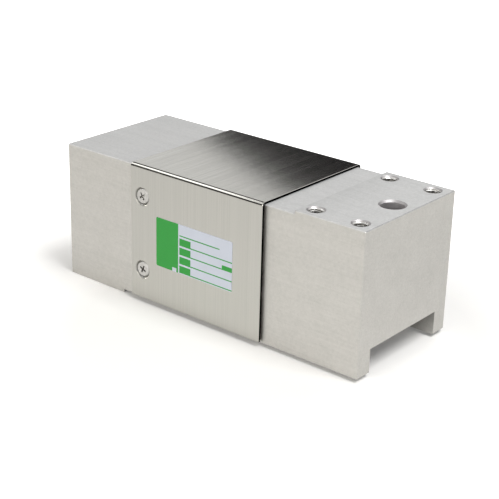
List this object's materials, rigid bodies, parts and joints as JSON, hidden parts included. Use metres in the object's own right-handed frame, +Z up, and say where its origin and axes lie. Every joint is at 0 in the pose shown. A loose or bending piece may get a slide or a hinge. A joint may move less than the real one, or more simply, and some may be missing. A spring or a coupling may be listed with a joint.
{
  "type": "single point load cell",
  "caption": "Single point load cell: a machined aluminium block with bolting pads and a slot under its loaded end, wrapped by a folded stainless cover with a label.",
  "frame": {"origin": "centre of the fixed end's four bolt holes, on the face of the lower bolting pad", "axes": "+X along the block to the loaded end, +Z up out of the loaded end's bolting pad, +Y to the side without the label"},
  "size_m": [0.2032, 0.0789, 0.0754],
  "materials": {
    "block_metal": "fine satin, machined and anodised clear",
    "sheet_metal": "brushed stainless sheet",
    "label_film": "printed film, pale field with green blocks",
    "screw_metal": "bright stainless",
    "gauge_film": "amber film with a metal foil grid",
    "board_laminate": "glass fibre laminate",
    "resistor_body": "matt black",
    "lead_copper": "tinned copper strip",
    "potting_silicone": "whitish silicone",
    "gland_rubber": "black rubber",
    "gland_metal": "nickel-plated brass"
  },
  "bodies": {
    "root": {"load_cell_body": "block_metal", "folded_cover": "sheet_metal", "rating_label": "label_film", "front_lower_cover_screw": "screw_metal", "front_upper_cover_screw": "screw_metal", "rear_lower_cover_screw": "screw_metal", "rear_upper_cover_screw": "screw_metal", "top_fixed_gauge": "gauge_film", "top_loaded_gauge": "gauge_film", "bottom_fixed_gauge": "gauge_film", "bottom_loaded_gauge": "gauge_film", "top_fixed_terminal": "board_laminate", "top_loaded_terminal": "board_laminate", "bottom_fixed_terminal": "board_laminate", "bottom_loaded_terminal": "board_laminate", "bridge_board": "board_laminate", "span_resistor": "resistor_body", "zero_resistor": "resistor_body", "temperature_resistor": "resistor_body", "top_fixed_lead": "lead_copper", "top_loaded_lead": "lead_copper", "bottom_lead": "lead_copper", "top_potting": "potting_silicone", "bottom_potting": "potting_silicone", "gland_gasket": "gland_rubber", "gland_body": "gland_metal", "gland_bush": "gland_rubber", "gland_nut": "gland_metal"}
  },
  "joints": []
}
